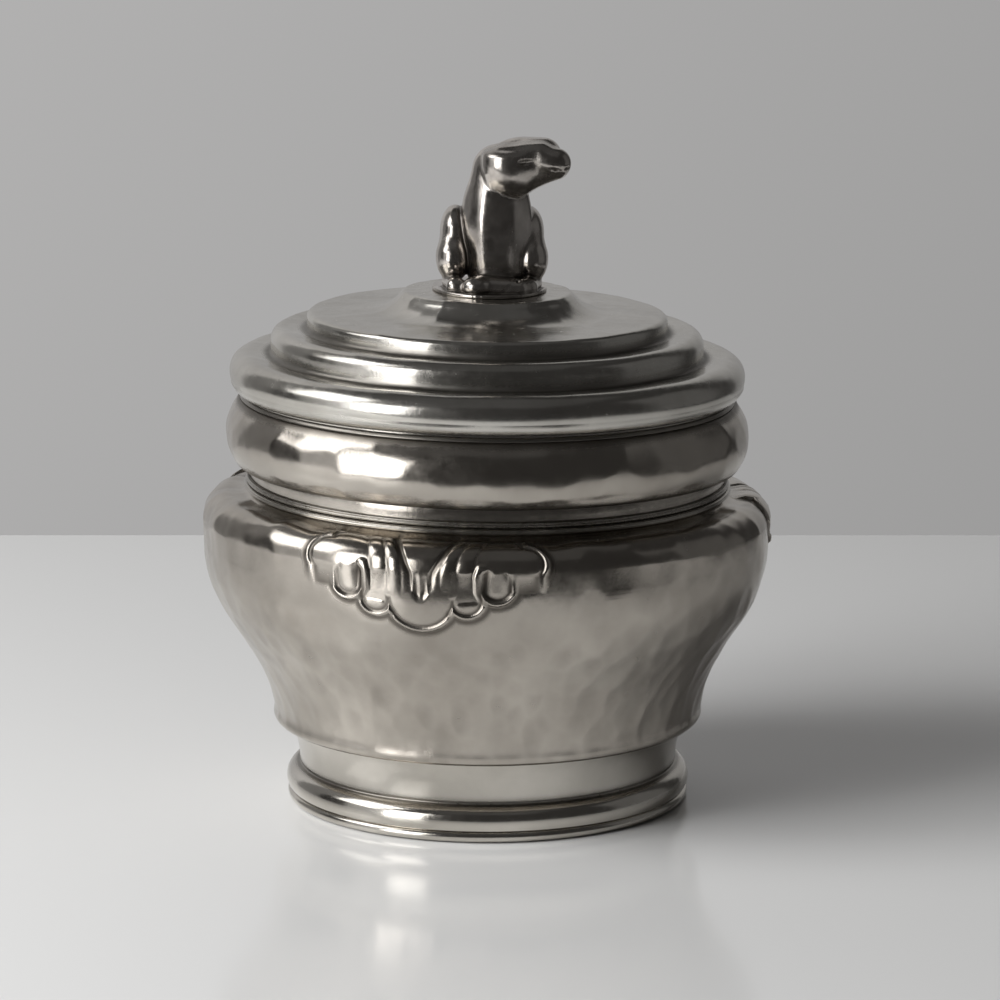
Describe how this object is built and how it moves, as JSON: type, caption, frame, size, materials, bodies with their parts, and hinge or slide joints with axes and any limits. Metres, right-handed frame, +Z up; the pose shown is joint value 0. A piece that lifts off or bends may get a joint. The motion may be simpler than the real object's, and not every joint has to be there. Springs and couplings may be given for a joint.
{
  "type": "lidded sugar bowl",
  "caption": "Round-bellied silver sugar bowl on a moulded foot, with a bulging rim band and a stepped lift-off lid topped by a small seated animal.",
  "frame": {"origin": "centre of the plane that the foot rests on", "axes": "+Z up along the bowl's axis; -Y is the front, where the animal's chest and the middle of the chased leaf face; +X is to the right of someone who looks at the front"},
  "size_m": [0.1048, 0.1048, 0.1219],
  "materials": {
    "hammered_silver": "raised sheet silver, planished with a hammer, satin with soft facets",
    "polished_silver": "turned and polished silver wire and mouldings",
    "lid_silver": "smooth raised silver, polished and lightly worn",
    "cast_silver": "cast and polished silver, darkened in its hollows",
    "fastener_silver": "plain turned silver"
  },
  "bodies": {
    "bowl": {"foot_wire": "polished_silver", "foot_ring": "polished_silver", "bowl_body": "hammered_silver", "lower_neck_wire": "polished_silver", "upper_neck_wire": "polished_silver", "rim_band": "hammered_silver", "mouth_wire": "polished_silver"},
    "lid": {"lid_shell": "lid_silver", "lid_flange": "polished_silver", "finial": "cast_silver", "finial_stud": "fastener_silver", "finial_washer": "fastener_silver", "finial_nut": "fastener_silver"}
  },
  "joints": [
    {"name": "lid_lift", "type": "slide", "parent": "bowl", "child": "lid", "axis": [0, 0, 1], "range_m": [0, 0.06]}
  ]
}
